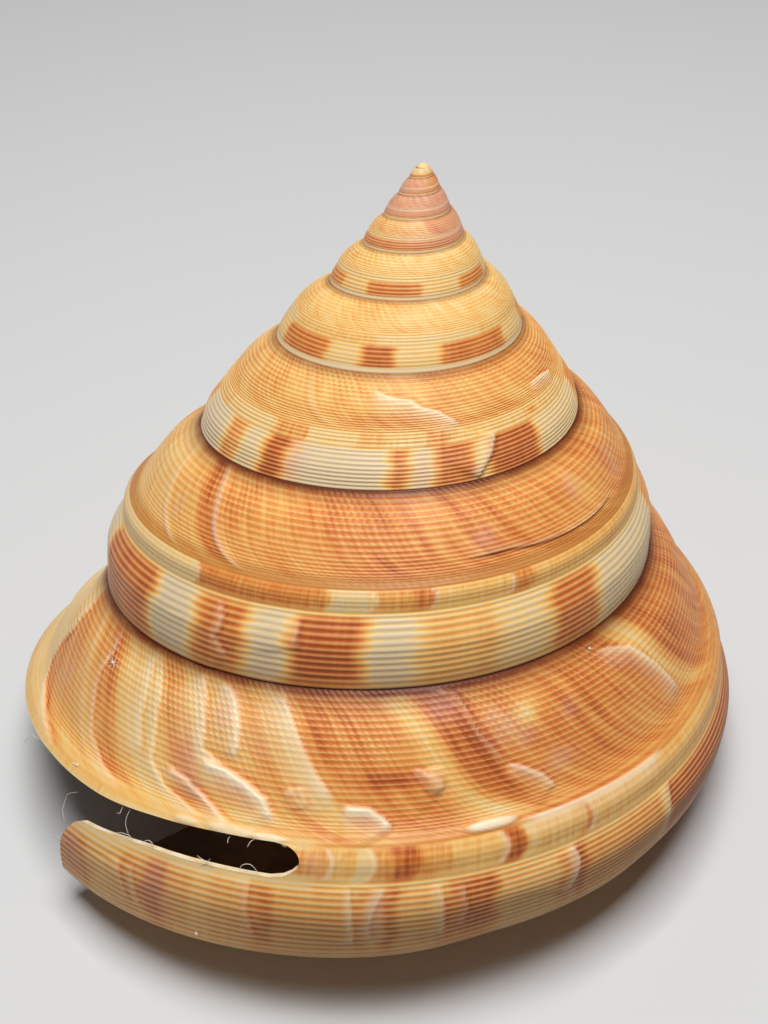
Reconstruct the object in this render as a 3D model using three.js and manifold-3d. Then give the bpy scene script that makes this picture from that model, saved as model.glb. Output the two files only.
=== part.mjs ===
// Slit shell: a top-shaped sea snail shell with a long slit in its outer lip, resting on its base.
// Millimetres, +Z up. The shell is first drawn about its own coiling axis, with the apex at the origin
// and the body below it, and is then leaned over on to its base.
import * as THREE from "three";
import { mergeVertices } from "three/addons/utils/BufferGeometryUtils.js";
import Module from "manifold-3d";

// The coil: at each whole turn, counted from the apex, the radius of the seam under the whorl and its
// drop below the apex. Whole turns face the front (-Y) and growth runs clockwise seen from above.
const SEAM_TURNS = [0, 1, 2, 3, 4, 5, 6, 7, 8, 9, 10];
const SEAM_RADIUS = [1.1, 1.9, 3, 4.4, 6.3, 9.8, 15.9, 25.2, 37.7, 51.5, 64.1];
const SEAM_DROP = [0.4, 1.5, 3.4, 6.1, 9.7, 14.7, 22, 33.6, 54.4, 83.7, 116.1];
const FIRST_TURN = 1;
const LAST_TURN = 9.3125;

// The whorl's outside from its upper seam (place 0) to its lower seam (place 8), at five stages of
// growth: how far along the straight line between the seams each place is, and how far it bulges out,
// both as shares of that line. Places 4 to 6 are the band that the slit leaves behind it.
const WHORL_STAGES = [3, 6, 7, 8, 9];
const ALONG = [
  [0, 0.17, 0.34, 0.47, 0.55, 0.6, 0.66, 0.84, 1],
  [0, 0.17, 0.34, 0.45, 0.52, 0.58, 0.65, 0.84, 1],
  [0, 0.17, 0.34, 0.45, 0.52, 0.58, 0.655, 0.84, 1],
  [0, 0.17, 0.34, 0.44, 0.5, 0.555, 0.612, 0.81, 1],
  [0, 0.17, 0.34, 0.49, 0.565, 0.63, 0.7, 0.85, 1],
];
const BULGE = [
  [0, 0.02, 0.02, 0.015, 0.01, 0.01, 0.01, 0.01, 0],
  [0, 0.03, 0.035, 0.02, 0.015, 0.02, 0.02, 0.03, 0],
  [0, 0.035, 0.04, 0.025, 0.025, 0.035, 0.035, 0.04, 0],
  [0, 0.06, 0.085, 0.105, 0.14, 0.142, 0.115, 0.1, 0],
  [0, 0.05, 0.065, 0.08, 0.118, 0.13, 0.11, 0.09, 0],
];
const SEAM_PLACE = 8;

// The base under the last whorl, from the lower seam line (place 0) to near the axis (place 5): share of
// the seam radius, and drop below the seam for a seam radius of BASE_RADIUS. Place 6 is the navel, a
// point on the axis.
const BASE_REACH = [1, 0.975, 0.92, 0.82, 0.55, 0.25];
const BASE_DROP = [0, 1.7, 3.3, 4.2, 3, -1];
const BASE_RADIUS = 51.5;
const NAVEL_DROP = 76;
const NAVEL_PLACE = 6;

// The hollow and the mouth.
const WALL = 1.7;
const CALLUS = 0.4;
const PILLAR_RADIUS = 6;
const HOLLOW_START = 8.22;
const HOLLOW_END = 9.42;
const LOWER_LIP_TURN = 9.146;

// The slit between the upper and the lower lip: its closed end, and its two edges as places on the whorl.
const SLIT_TURNS = [9.031, 9.034, 9.04, 9.055, 9.09, 9.125, 9.137, 9.142, 9.16];
const SLIT_UPPER = [4.9, 4.3, 4.05, 4, 4.2, 4.55, 4.65, 4.65, 4.6];
const SLIT_LOWER = [5.1, 5.7, 5.95, 6, 6.05, 6.3, 6.6, 7.2, 8];
const UPPER_LIP_PLACE = 4.55;

// How the shell lies on its base: the lean of its axis to the right and to the back, and the height worn
// away so that it stands on small flats.
const LEAN_RIGHT_DEG = 4.6;
const LEAN_BACK_DEG = 14.1;
const WEAR = 0.5;

// Facets.
const ROWS_PER_TURN = 48;
const HOLLOW_ROWS = 44;
const LIP_ROWS = 14;
const FAR = 90;

const SHELL_COLOUR = "#d9974f";

const wasm = await Module();
wasm.setup();

// A smooth curve through points, level wherever the points turn back.
function curve(xs, ys) {
  const last = xs.length - 1;
  const secant = xs.slice(1).map((x, i) => (ys[i + 1] - ys[i]) / (x - xs[i]));
  const slope = xs.map((x, i) => {
    if (i === 0) return secant[0];
    if (i === last) return secant[last - 1];
    const product = secant[i - 1] * secant[i];
    return product > 0 ? (2 * product) / (secant[i - 1] + secant[i]) : 0;
  });
  return (x) => {
    let i = 0;
    while (i < last - 1 && x > xs[i + 1]) i += 1;
    const width = xs[i + 1] - xs[i];
    const s = (x - xs[i]) / width;
    const rise = ys[i + 1] - ys[i];
    const bend = s * (1 - s) * width;
    return ys[i] + rise * s * s * (3 - 2 * s) + bend * (slope[i] * (1 - s) - slope[i + 1] * s);
  };
}

const places = ALONG[0].map((_, i) => i);
const logRadius = curve(SEAM_TURNS, SEAM_RADIUS.map(Math.log));
const logDrop = curve(SEAM_TURNS, SEAM_DROP.map(Math.log));
const alongAt = places.map((i) => curve(WHORL_STAGES, ALONG.map((row) => row[i])));
const bulgeAt = places.map((i) => curve(WHORL_STAGES, BULGE.map((row) => row[i])));

// A section point is a Vector2 of radius and height on the half plane of its turn.
function seam(turn) {
  return new THREE.Vector2(Math.exp(logRadius(turn)), -Math.exp(logDrop(turn)));
}

function whorl(turn) {
  const upper = seam(turn - 1);
  const chord = seam(turn).sub(upper);
  const out = new THREE.Vector2(-chord.y, chord.x);
  const stage = Math.min(Math.max(turn, WHORL_STAGES[0]), WHORL_STAGES.at(-1));
  const points = places.map((i) =>
    upper.clone().addScaledVector(chord, alongAt[i](stage)).addScaledVector(out, bulgeAt[i](stage)),
  );
  const radius = curve(places, points.map((p) => p.x));
  const height = curve(places, points.map((p) => p.y));
  return (place) => new THREE.Vector2(radius(place), height(place));
}

function base(turn) {
  const edge = seam(turn);
  const scale = edge.x / BASE_RADIUS;
  const steps = [...BASE_REACH.keys(), NAVEL_PLACE];
  const radius = curve(steps, [...BASE_REACH.map((reach) => edge.x * reach), 0]);
  const height = curve(steps, [...BASE_DROP.map((drop) => edge.y - scale * drop), -NAVEL_DROP]);
  return (place) => new THREE.Vector2(radius(place), height(place));
}

// A point of a section curve moved square to it: inwards for a positive depth.
function moved(section, place, depth) {
  const step = 0.02;
  const along = section(place + step).sub(section(place - step)).normalize();
  return section(place).add(new THREE.Vector2(along.y, -along.x).multiplyScalar(depth));
}

function toSpace(turn, point) {
  const angle = 2 * Math.PI * turn;
  return [-point.x * Math.sin(angle), -point.x * Math.cos(angle), point.y];
}

function solid(vertices, triangles) {
  const mesh = { numProp: 3, vertProperties: new Float32Array(vertices.flat()) };
  mesh.triVerts = new Uint32Array(triangles.flat());
  const made = new wasm.Manifold(new wasm.Mesh(mesh));
  if (made.volume() > 0) return made;
  mesh.triVerts.reverse();
  return new wasm.Manifold(new wasm.Mesh(mesh));
}

// Places where the outside is drawn, closer together as the whorls grow.
function whorlPlaces(turn) {
  const step = turn < 3 ? 4 : turn < 5 ? 2 : turn < 7 ? 1 : 0.5;
  return Array.from({ length: SEAM_PLACE / step + 1 }, (_, i) => i * step);
}

const BASE_PLACES = [0.5, 1, 1.5, 2, 2.5, 3, 3.5, 4, 4.5, 5];

// Triangles between two neighbouring rows, which may have different numbers of points.
function stitch(rowA, rowB, triangles) {
  let a = 0;
  let b = 0;
  while (a < rowA.length - 1 || b < rowB.length - 1) {
    const nextA = a < rowA.length - 1 ? rowA[a + 1].place : Infinity;
    const nextB = b < rowB.length - 1 ? rowB[b + 1].place : Infinity;
    const stepA = nextA <= nextB;
    const corner = stepA ? rowA[a + 1] : rowB[b + 1];
    const triangle = [rowA[a].index, rowB[b].index, corner.index];
    if (new Set(triangle).size === 3) triangles.push(triangle);
    if (stepA) a += 1;
    else b += 1;
  }
}

// The outside as one closed solid: every whorl, the base under the last one, and a flat end at the lip.
function outside() {
  const vertices = [[0, 0, 0], [0, 0, -NAVEL_DROP]];
  const triangles = [];
  const rows = [];
  const count = Math.round((LAST_TURN - FIRST_TURN) * ROWS_PER_TURN);
  const add = (turn, place, point) => ({ place, point, index: vertices.push(toSpace(turn, point)) - 1 });
  for (let i = 0; i <= count; i += 1) {
    const turn = FIRST_TURN + i / ROWS_PER_TURN;
    const section = whorl(turn);
    const row = whorlPlaces(turn).map((place) => {
      if (place > 0 || i < ROWS_PER_TURN) return add(turn, place, section(place));
      const above = rows[i - ROWS_PER_TURN].find((p) => p.place === SEAM_PLACE);
      return { ...above, place };
    });
    if (i >= count - ROWS_PER_TURN) {
      const under = base(turn);
      BASE_PLACES.forEach((place) => row.push(add(turn, SEAM_PLACE + place, under(place))));
      row.push({ place: SEAM_PLACE + NAVEL_PLACE, point: under(NAVEL_PLACE), index: 1 });
    }
    rows.push(row);
  }
  for (let i = 0; i < count; i += 1) {
    const freeBase = i >= count - ROWS_PER_TURN;
    const [rowA, rowB] = [rows[i], rows[i + 1]];
    stitch(rowA, freeBase ? rowB : rowB.filter((p) => p.place <= SEAM_PLACE), triangles);
  }
  const apexRim = rows.slice(0, ROWS_PER_TURN + 1).map((row) => row[0].index);
  const firstRow = rows[0].map((p) => p.index).reverse();
  const loop = [...apexRim, ...firstRow.slice(1, -1)];
  loop.forEach((index, i) => triangles.push([index, loop[(i + 1) % loop.length], 0].reverse()));
  const parietal = rows[count - ROWS_PER_TURN].filter((p) => p.place > SEAM_PLACE).reverse();
  const mouth = [...rows[count], ...parietal.slice(1)];
  const faces = THREE.ShapeUtils.triangulateShape(mouth.map((p) => p.point), []);
  const turned = THREE.ShapeUtils.area(mouth.map((p) => p.point)) < 0;
  faces.forEach((face) => {
    const triangle = face.map((i) => mouth[i].index);
    triangles.push(turned ? triangle : triangle.reverse());
  });
  return { vertices, triangles };
}

// A solid swept round the axis through a row of sections with equal numbers of points.
function sweep(turns, sectionAt) {
  const sections = turns.map(sectionAt);
  const size = sections[0].length;
  const vertices = turns.flatMap((turn, i) => sections[i].map((point) => toSpace(turn, point)));
  const triangles = [];
  for (let i = 0; i < turns.length - 1; i += 1) {
    for (let k = 0; k < size; k += 1) {
      const [a, b] = [i * size + k, i * size + ((k + 1) % size)];
      triangles.push([a, b, a + size], [b, b + size, a + size]);
    }
  }
  const end = (turns.length - 1) * size;
  const orient = THREE.ShapeUtils.isClockWise(sections[0]);
  THREE.ShapeUtils.triangulateShape(sections[0], []).forEach(([a, b, c]) => {
    triangles.push(orient ? [a, b, c] : [c, b, a]);
  });
  THREE.ShapeUtils.triangulateShape(sections.at(-1), []).forEach(([a, b, c]) => {
    const face = [end + a, end + b, end + c];
    triangles.push(orient ? face.reverse() : face);
  });
  return { vertices, triangles };
}

function evenTurns(from, to, count) {
  return Array.from({ length: count + 1 }, (_, i) => from + ((to - from) * i) / count);
}

// The hollow of the last whorl: inside of the wall and floor, the pillar, and the underside of the
// whorl before it.
function hollowSection(turn) {
  const wall = whorl(turn);
  const floor = base(turn);
  const roof = base(turn - 1);
  const outer = [0.7, 1.5, 2.3, 3.2, 4, 5, 6, 7, 7.9].map((place) => moved(wall, place, WALL));
  const lower = [1.5, 2.5, 3.2, 4, 4.6, 5.1, 5.5].map((place) => moved(floor, place, WALL));
  const upper = [5.4, 5, 4.5, 4, 3, 2, 1].map((place) => moved(roof, place, -CALLUS));
  return [...outer, ...lower, ...upper];
}

// What is open in front of the lower lip: the outer wall and the floor, out past the shell.
function mouthSection(turn) {
  const wall = whorl(turn);
  const floor = moved(base(turn), 3, 2 * WALL);
  const pillar = base(turn)(5.5).add(base(turn - 1)(5.5)).divideScalar(2);
  const lip = wall(UPPER_LIP_PLACE);
  const inner = moved(wall, UPPER_LIP_PLACE, 2 * WALL);
  const below = -SEAM_DROP.at(-1) - FAR;
  return [
    inner,
    lip,
    new THREE.Vector2(FAR, lip.y),
    new THREE.Vector2(FAR, below),
    new THREE.Vector2(PILLAR_RADIUS, below),
    new THREE.Vector2(PILLAR_RADIUS, pillar.y),
    new THREE.Vector2(inner.x - WALL, floor.y),
  ];
}

const slitUpper = curve(SLIT_TURNS, SLIT_UPPER);
const slitLower = curve(SLIT_TURNS, SLIT_LOWER);

function slitSection(turn) {
  const wall = whorl(turn);
  const [upper, lower] = [slitUpper(turn), slitLower(turn)];
  const middle = (upper + lower) / 2;
  const out = wall(middle).sub(moved(wall, middle, 2 * WALL));
  return [
    ...[upper, lower].map((place) => wall(place).add(out)),
    ...[lower, upper].map((place) => wall(place).sub(out)),
  ];
}

function build(part) {
  return solid(part.vertices, part.triangles);
}

function toGeometry(made) {
  const { vertProperties, triVerts } = made.getMesh();
  const geometry = new THREE.BufferGeometry();
  geometry.setAttribute("position", new THREE.BufferAttribute(vertProperties, 3));
  geometry.setIndex(new THREE.BufferAttribute(triVerts, 1));
  return geometry;
}

function leanOver() {
  const lean = new THREE.Euler(0, 0, 0, "YXZ");
  lean.x = THREE.MathUtils.degToRad(-LEAN_BACK_DEG);
  lean.y = THREE.MathUtils.degToRad(LEAN_RIGHT_DEG);
  return new THREE.Quaternion().setFromEuler(lean);
}

// Everything below the surface that the leaning shell stands on, in the shell's own axes.
function ground(whole, lean) {
  const leaning = toGeometry(whole).applyQuaternion(lean);
  leaning.computeBoundingBox();
  const top = leaning.boundingBox.min.z + WEAR;
  const slab = new THREE.BoxGeometry(4 * FAR, 4 * FAR, FAR).translate(0, 0, top - FAR / 2);
  slab.deleteAttribute("normal").deleteAttribute("uv");
  const merged = mergeVertices(slab.applyQuaternion(lean.clone().invert()));
  const corners = merged.getAttribute("position");
  const vertices = Array.from({ length: corners.count }, (_, i) => [
    corners.getX(i),
    corners.getY(i),
    corners.getZ(i),
  ]);
  return { vertices, triangles: Array.from(merged.index.array) };
}

const whole = build(outside())
  .subtract(build(sweep(evenTurns(HOLLOW_START, HOLLOW_END, HOLLOW_ROWS), hollowSection)))
  .subtract(build(sweep(evenTurns(LOWER_LIP_TURN, HOLLOW_END, LIP_ROWS), mouthSection)))
  .subtract(build(sweep(SLIT_TURNS, slitSection)));
const lean = leanOver();
const geometry = toGeometry(whole.subtract(build(ground(whole, lean))));
geometry.computeVertexNormals();

const material = new THREE.MeshStandardMaterial({ color: SHELL_COLOUR, roughness: 0.4, metalness: 0 });
const shell = new THREE.Mesh(geometry, material);
shell.name = "shell";
shell.quaternion.copy(lean);
const box = new THREE.Box3().setFromObject(shell, true);
const middle = box.getCenter(new THREE.Vector3());
shell.position.set(-middle.x, -middle.y, -box.min.z);

const slitShell = new THREE.Group();
slitShell.add(shell);

export default slitShell;
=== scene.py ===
import math

import bmesh
import bpy
import numpy as np
from mathutils import Matrix, Vector


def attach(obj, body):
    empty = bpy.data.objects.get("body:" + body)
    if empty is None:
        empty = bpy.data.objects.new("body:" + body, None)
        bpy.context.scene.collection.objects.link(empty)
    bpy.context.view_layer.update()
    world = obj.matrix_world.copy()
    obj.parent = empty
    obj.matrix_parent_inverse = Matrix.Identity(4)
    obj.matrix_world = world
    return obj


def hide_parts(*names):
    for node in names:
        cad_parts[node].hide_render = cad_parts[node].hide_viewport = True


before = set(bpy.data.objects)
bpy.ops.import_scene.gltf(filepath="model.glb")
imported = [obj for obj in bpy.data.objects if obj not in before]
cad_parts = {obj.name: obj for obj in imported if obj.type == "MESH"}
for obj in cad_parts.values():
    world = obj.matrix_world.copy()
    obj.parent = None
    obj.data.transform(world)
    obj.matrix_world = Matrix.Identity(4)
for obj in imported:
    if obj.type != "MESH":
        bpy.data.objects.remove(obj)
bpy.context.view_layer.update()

# Sizes of the shell about its own axis are in millimetres, and the scene is in metres.
MM = 0.001
SHELL_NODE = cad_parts["shell"]
APEX = np.array(max(SHELL_NODE.data.vertices, key=lambda v: v.co.z).co)
LEAN_RIGHT_DEG = 4.6
LEAN_BACK_DEG = 14.1

# The coil: radius and drop below the apex of the seam under the whorl, at each whole turn.
SEAM_TURNS = (0, 1, 2, 3, 4, 5, 6, 7, 8, 9, 10)
SEAM_RADIUS = (0.8, 1.5, 2.6, 4.2, 6.4, 10, 16.1, 25.2, 37.7, 51.5, 64.1)
SEAM_DROP = (0.4, 1.5, 3.4, 6.1, 9.7, 14.7, 22, 33.6, 54.4, 83.7, 116.1)

# The whorl's outside from its upper seam (place 0) to its lower seam (place 8), at stages of growth.
PLACES = (0, 1, 2, 3, 4, 5, 6, 7, 8)
WHORL_STAGES = (3, 6, 7, 8, 9)
ALONG = (
    (0, 0.17, 0.34, 0.47, 0.55, 0.6, 0.66, 0.84, 1),
    (0, 0.17, 0.34, 0.45, 0.52, 0.58, 0.65, 0.84, 1),
    (0, 0.17, 0.34, 0.45, 0.52, 0.58, 0.655, 0.84, 1),
    (0, 0.17, 0.34, 0.44, 0.5, 0.555, 0.612, 0.81, 1),
    (0, 0.17, 0.34, 0.49, 0.565, 0.63, 0.7, 0.85, 1),
)
BULGE = (
    (0, 0.05, 0.07, 0.07, 0.07, 0.06, 0.06, 0.04, 0),
    (0, 0.075, 0.11, 0.115, 0.115, 0.105, 0.09, 0.055, 0),
    (0, 0.05, 0.07, 0.065, 0.06, 0.06, 0.055, 0.05, 0),
    (0, 0.085, 0.112, 0.12, 0.142, 0.142, 0.115, 0.1, 0),
    (0, 0.055, 0.072, 0.083, 0.118, 0.13, 0.11, 0.09, 0),
)
BAND_TOP = 4
BAND_MIDDLE = 5
BAND_FOOT = 6
SEAM_PLACE = 8

# The base under the last whorl, from the lower seam line (place 8) to the navel (place 14).
BASE_PLACES = (0, 1, 2, 3, 4, 5, 6)
BASE_REACH = (1, 0.975, 0.92, 0.82, 0.55, 0.25, 0)
BASE_DROP = (0, 1.7, 3.3, 4.2, 3, -1)
BASE_RADIUS = 51.5
NAVEL_DROP = 76
NAVEL_PLACE = SEAM_PLACE + 6
NAVEL_GAP = 0.02

# How far the foot of the last wall stands above the even coil, in millimetres, as its outline shows.
FOOT_TURNS = (8.7, 8.8, 8.84, 8.87, 8.9, 8.95, 8.967, 8.985, 9, 9.05, 9.075, 9.1, 9.146)
FOOT_LIFTS = (0, 1, 2.2, 2.2, 1.6, 1.5, 1, 0.3, 0, -0.45, -0.75, -1.05, -1.6)

# Where the pieces start and end, and where the slit ends in a half circle, in turns.
FIRST_TURN = 0.5
TIP_END = 6.5
LAST_START = 8.5
BASE_START = 7.75
SLIT_END = 9.031
SLIT_SQUARE = 9.042

# Edges of the slit and of the lips: places at turns, and turns at places.
SLIT_TURNS = (9.042, 9.055, 9.09, 9.125, 9.16, 9.32)
SLIT_UPPER = (4, 4, 4.2, 4.55, 4.6, 4.55)
SLIT_LOWER = (6, 6, 6.05, 6.33, 6.5, 6.5)
LOWER_LIP_PLACES = (6, 6.1, 6.3, 6.6, 7.2, 8, 11, 14)
LOWER_LIP_TURNS = (9.131, 9.1345, 9.1375, 9.14, 9.1435, 9.146, 9.146, 9.146)
UPPER_LIP_PLACES = (0, 2, 3.5, 4)
UPPER_LIP_TURNS = (9.3125, 9.31, 9.3, 9.285)

# A growth line lags behind by this many turns on its way from the seam to the band.
LAG_PLACES = (0, 0.6, 1.5, 2.4, 4)
LAG_TURNS = (0, 0.013, 0.025, 0.038, 0.07)

# The wall's thickness in millimetres, and how far whorls are tucked under the one above, and the base is set
# back inside the whorl that covers it, in places.
WALL = 0.9
TUCK = 0.35
BASE_SETBACK = 0.5
SETBACK_TURNS = (8.4, LAST_START)

# The pillar's radius at each height, and the dome at the apex.
PILLAR_PROFILE = ((0, -50), (4.5, -52), (5.2, -60), (5.8, -67), (6, -72), (5.4, -76), (3, -78.4), (0, -79))
PILLAR_STEPS = 64
FIRST_SHELL_SIZE = (0.9, 0.9, 0.75)
FIRST_SHELL_MIDDLE = (0, 0, -0.7)
FIRST_SHELL_TONE = 0.15

# The view: how high the camera looks on the shell's own axis, its roll, distance and picture.
VIEW_ELEVATION_DEG = 27.95
VIEW_ROLL_DEG = -3.55
VIEW_DISTANCE = 225.3
VIEW_TARGET = (-2.26, 0, -50.07)
VIEW_LENS = 56.25


def smooth(xs, ys, x):
    """A smooth curve through points, level wherever the points turn back."""
    xs = np.asarray(xs, float)
    x = np.asarray(x, float)
    ys = np.broadcast_to(np.asarray(ys, float), x.shape + (len(xs),))
    gap = np.diff(xs)
    secant = np.diff(ys, axis=-1) / gap
    before, after = secant[..., :-1], secant[..., 1:]
    total = np.where(before + after == 0, 1, before + after)
    inner = np.where(before * after > 0, 2 * before * after / total, 0)
    slope = np.concatenate([secant[..., :1], inner, secant[..., -1:]], -1)
    i = np.clip(np.searchsorted(xs, x, side="right") - 1, 0, len(xs) - 2)
    s = (x - xs[i]) / gap[i]

    def pick(values, index):
        return np.take_along_axis(values, index[..., None], -1)[..., 0]

    low, high = pick(ys, i), pick(ys, i + 1)
    bend = s * (1 - s) * gap[i] * (pick(slope, i) * (1 - s) - pick(slope, i + 1) * s)
    return low + (high - low) * s * s * (3 - 2 * s) + bend


def step(low, high, x):
    """0 below low, 1 above high, and a soft rise between."""
    s = np.clip((np.asarray(x, float) - low) / (high - low), 0, 1)
    return s * s * (3 - 2 * s)


def seam(turn):
    """Radius and height of the seam under the whorl."""
    radius = np.exp(smooth(SEAM_TURNS, np.log(SEAM_RADIUS), turn))
    drop = np.exp(smooth(SEAM_TURNS, np.log(SEAM_DROP), turn))
    return radius, -drop


def whorl_section(turn, place):
    """Radius and height of the whorl's outside."""
    upper_radius, upper_height = seam(turn - 1)
    lower_radius, lower_height = seam(turn)
    along_radius = (lower_radius - upper_radius)[..., None]
    along_height = (lower_height - upper_height)[..., None]
    stage = np.clip(turn, WHORL_STAGES[0], WHORL_STAGES[-1])
    along = np.stack([smooth(WHORL_STAGES, column, stage) for column in zip(*ALONG)], -1)
    bulge = np.stack([smooth(WHORL_STAGES, column, stage) for column in zip(*BULGE)], -1)
    radius = upper_radius[..., None] + along * along_radius - bulge * along_height
    height = upper_height[..., None] + along * along_height + bulge * along_radius
    return smooth(PLACES, radius, place), smooth(PLACES, height, place)


def base_section(turn, place):
    """Radius and height of the base, for places past the lower seam."""
    edge_radius, edge_height = seam(turn)
    scale = edge_radius / BASE_RADIUS
    radius = edge_radius[..., None] * np.asarray(BASE_REACH)
    drops = edge_height[..., None] - scale[..., None] * np.asarray(BASE_DROP)
    navel = np.full(edge_height.shape + (1,), -float(NAVEL_DROP))
    height = np.concatenate([drops, navel], -1)
    under = place - SEAM_PLACE
    return smooth(BASE_PLACES, radius, under), smooth(BASE_PLACES, height, under)


def section(turn, place):
    """Radius and height of the outside, whorl and base."""
    outer = whorl_section(turn, np.minimum(place, SEAM_PLACE))
    under = base_section(turn, np.clip(place, SEAM_PLACE, NAVEL_PLACE))
    below = place > SEAM_PLACE
    lift = smooth(FOOT_TURNS, FOOT_LIFTS, np.clip(turn, FOOT_TURNS[0], FOOT_TURNS[-1]))
    lift = lift * step(BAND_FOOT, SEAM_PLACE, place) * (1 - step(SEAM_PLACE, NAVEL_PLACE - 1, place))
    return np.where(below, under[0], outer[0]), np.where(below, under[1], outer[1]) + lift


NORMAL_REACH = 0.03


def section_normal(turn, place):
    """The outward direction in the section, as radius and height."""
    low = np.maximum(place - NORMAL_REACH, -TUCK)
    high = np.minimum(place + NORMAL_REACH, NAVEL_PLACE)
    radius_low, height_low = section(turn, low)
    radius_high, height_high = section(turn, high)
    along_radius, along_height = radius_high - radius_low, height_high - height_low
    length = np.maximum(np.hypot(along_radius, along_height), 1e-9)
    return -along_height / length, along_radius / length


def lean_matrix():
    """How the shell leans as it lies on its base."""
    right = Matrix.Rotation(math.radians(LEAN_RIGHT_DEG), 3, "Y")
    back = Matrix.Rotation(math.radians(-LEAN_BACK_DEG), 3, "X")
    return np.array(right @ back)


LEAN = lean_matrix()


def place_in_scene(points):
    """From millimetres about the shell's axis to metres as the shell lies."""
    return np.asarray(points, float) @ LEAN.T * MM + APEX


def ring_points(turn, radius, height):
    """Points about the shell's axis, where whole turns are at the front."""
    angle = 2 * np.pi * turn
    return np.stack([-radius * np.sin(angle), -radius * np.cos(angle), height], -1)


# Spiral cords, counted from the upper seam to each place, from the turn at which each stage starts.
CORD_PLACES = (0, 3.35, 4, 6.05, 8, 14)
CORD_STAGES = (
    (0, (0, 8, 9, 11, 16, 16)),
    (5.5, (0, 11, 12, 15, 22, 22)),
    (6.5, (0, 15, 17, 21, 31, 31)),
    (7.5, (0, 18, 20, 25, 37, 37)),
    (8.5, (0, 24, 26, 31, 44, 68)),
)
CORD_CHANGE = 0.06
TIP_COUNTS = CORD_STAGES[1][1]
MIDDLE_COUNTS = CORD_STAGES[3][1]
LAST_COUNTS = CORD_STAGES[4][1]

# Half the height of the cords in millimetres, how sharp they are, and the turns over which they grow.
CORD_HEIGHT_PLACES = (0, 0.3, 2.8, 3.4, 4, 4.3, 5.8, 6.1, 6.4, 7.65, 7.82, 8.1, 8.6, 11, 14)
CORD_HEIGHTS = (
    0.03, 0.04, 0.04, 0.03, 0.02, 0.025, 0.025, 0.05, 0.065, 0.065, 0.035, 0.035, 0.07, 0.07, 0,
)
SHOULDER_CORD = CORD_HEIGHTS[1]
EARLY_CORD_PLACES = (0, 0.3, 7.5, 8)
EARLY_CORD_HEIGHTS = (0.03, 0.045, 0.065, 0.05)
CORD_SHARP_PLACES = (0, 3.2, 4, 6.1, 8, 14)
CORD_SHARPNESS = (2.1, 2.1, 1.3, 1.15, 1, 1)
CORD_START = 2
CORD_FULL = 8
CORD_LEAST = 0.05

# The turns over which the whorls grow big and the first ones lose their bead, and the places where it starts.
BIG_TURNS = (7.3, 7.7)
BEAD_TURNS = (6.3, 6.7)
BEAD_PLACES = (7.45, 7.65)
# How white the bead is painted: a painted highlight on its rounded edge.
BEAD_PAINTED_HIGHLIGHT = 0.6


def late(turn):
    """0 on the whorls of the spire and 1 on the big whorls, where the band stands out."""
    return step(*BIG_TURNS, turn)


def bead(turn, place):
    """1 on the smooth bead along the lower seam of the first whorls, painted white as a highlight on its
    round edge.
    """
    return (1 - step(*BEAD_TURNS, turn)) * step(*BEAD_PLACES, place)


def cord_size(turn, place):
    """Half the height of a full-grown cord at a place, in millimetres."""
    early = np.interp(place, EARLY_CORD_PLACES, EARLY_CORD_HEIGHTS) * (1 - bead(turn, place))
    grown = np.interp(place, CORD_HEIGHT_PLACES, CORD_HEIGHTS)
    return early + (grown - early) * late(turn)


def cord_wave(counts, place):
    """A round wave with its crest in the middle of each cord."""
    return 0.5 - 0.5 * np.cos(2 * np.pi * np.interp(place, CORD_PLACES, counts))


def cord_pattern(turn, place):
    """1 on the crest of a spiral cord and 0 in the groove, in the counts of its stage of growth."""
    pattern = cord_wave(CORD_STAGES[0][1], place)
    for change, counts in CORD_STAGES[1:]:
        share = step(change - CORD_CHANGE, change + CORD_CHANGE, turn)
        pattern = pattern * (1 - share) + cord_wave(counts, place) * share
    return pattern ** np.interp(place, CORD_SHARP_PLACES, CORD_SHARPNESS)


# The fold behind the upper lip: the newest shell, past it, is pale and sags a little near the seam.
FOLD_PLACES = (0.1, 0.7, 1.3, 1.95, 2.5, 3.05, 3.7, 4.25)
FOLD_TURNS = (9.218, 9.212, 9.212, 9.218, 9.218, 9.208, 9.18, 9.162)
SAG_TURNS = (9.22, 9.3)
SAG_DEPTH = 2.2

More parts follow.
